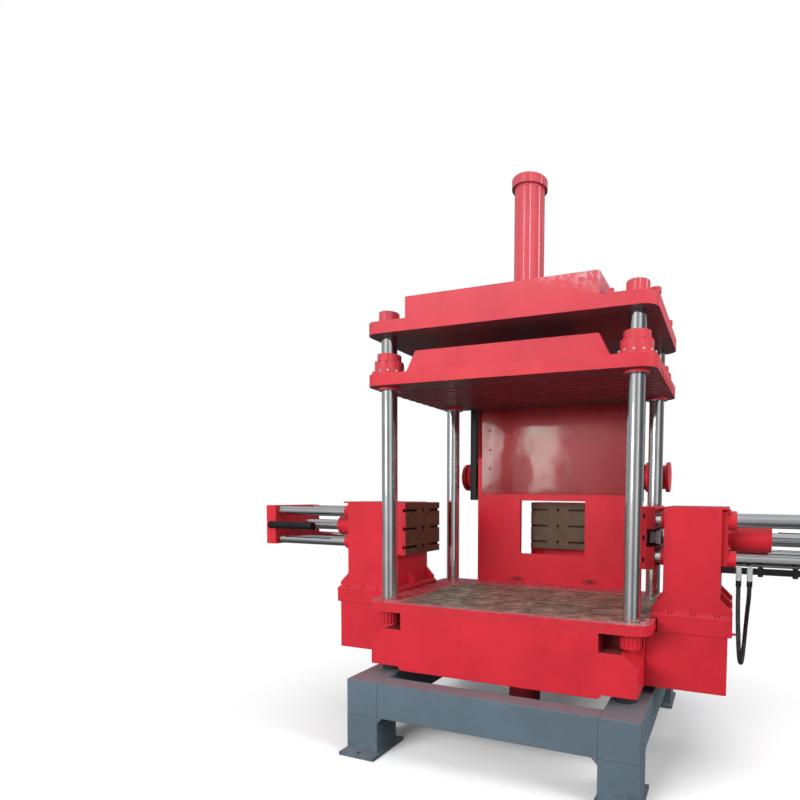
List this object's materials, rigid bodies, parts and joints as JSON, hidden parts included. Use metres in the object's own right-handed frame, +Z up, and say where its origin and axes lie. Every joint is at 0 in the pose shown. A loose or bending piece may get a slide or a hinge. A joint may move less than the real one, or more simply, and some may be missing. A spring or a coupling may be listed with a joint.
{
  "type": "gravity casting machine",
  "caption": "Four-column gravity die casting machine with a sliding platen, a T-slotted bed and core-pull units at its sides and rear, on a low welded base frame.",
  "frame": {"origin": "on the floor, at the centre of the four anchor bolt holes that stand square about the columns", "axes": "+Z up, +X to the machine's right as its operator sees it, +Y to its rear"},
  "size_m": [4.208, 2.798, 3.69],
  "materials": {
    "red_paint": "gloss red enamel",
    "gloss_red_panel": "high gloss red",
    "grey_paint": "satin blue-grey enamel",
    "chrome": "ground and hard chromed",
    "bare_steel": "machined, oiled",
    "worn_steel": "worn machined top, red edges",
    "black_steel": "blackened",
    "black_rubber": "matt",
    "zinc_fitting": "zinc plated"
  },
  "bodies": {
    "frame": {"frame_front_beam": "grey_paint", "frame_rear_beam": "grey_paint", "frame_left_beam": "grey_paint", "frame_right_beam": "grey_paint", "frame_legs": "grey_paint", "bed_mounts": "black_rubber", "bed_body": "red_paint", "bed_plate": "worn_steel", "columns": "chrome", "upper_nuts": "red_paint", "lower_nuts": "red_paint", "crown_plate": "red_paint", "crown_box": "red_paint", "lifting_posts": "bare_steel", "main_cylinder": "red_paint", "rear_wall": "red_paint", "upper_panel": "gloss_red_panel", "left_rack_housing": "red_paint", "right_rack_housing": "red_paint", "ejector_cylinder": "red_paint", "limit_rails": "black_steel", "hose_fittings": "zinc_fitting", "core_hose": "black_rubber", "left_core_box": "red_paint", "left_core_pedestal": "red_paint", "left_core_bushes": "red_paint", "left_core_cylinder": "red_paint", "right_core_box": "red_paint", "right_core_pedestal": "red_paint", "right_core_bushes": "red_paint", "right_core_cylinder": "red_paint", "rear_core_box": "red_paint", "rear_core_pedestal": "red_paint", "rear_core_bushes": "red_paint", "rear_core_cylinder": "red_paint"},
    "platen": {"main_ram": "chrome", "platen_plate": "red_paint", "platen_ribs": "red_paint", "platen_webs": "red_paint", "platen_bushes": "red_paint", "platen_racks": "black_steel"},
    "left_core": {"left_die_plate": "bare_steel", "left_die_backing": "red_paint", "left_core_rods": "chrome", "left_tail_plate": "red_paint", "left_trip_bar": "black_steel"},
    "right_core": {"right_die_plate": "bare_steel", "right_die_backing": "red_paint", "right_core_rods": "chrome", "right_tail_plate": "red_paint", "right_trip_bar": "black_steel"},
    "rear_core": {"rear_die_plate": "bare_steel", "rear_die_backing": "red_paint", "rear_core_rods": "chrome", "rear_tail_plate": "red_paint", "rear_trip_bar": "black_steel"}
  },
  "joints": [
    {"name": "platen_slide", "type": "slide", "parent": "frame", "child": "platen", "axis": [0, 0, -1], "range_m": [0, 0.6]},
    {"name": "left_core_slide", "type": "slide", "parent": "frame", "child": "left_core", "axis": [1, 0, 0], "range_m": [0, 0.32]},
    {"name": "right_core_slide", "type": "slide", "parent": "frame", "child": "right_core", "axis": [-1, 0, 0], "range_m": [0, 0.32]},
    {"name": "rear_core_slide", "type": "slide", "parent": "frame", "child": "rear_core", "axis": [0, -1, 0], "range_m": [0, 0.32]}
  ]
}
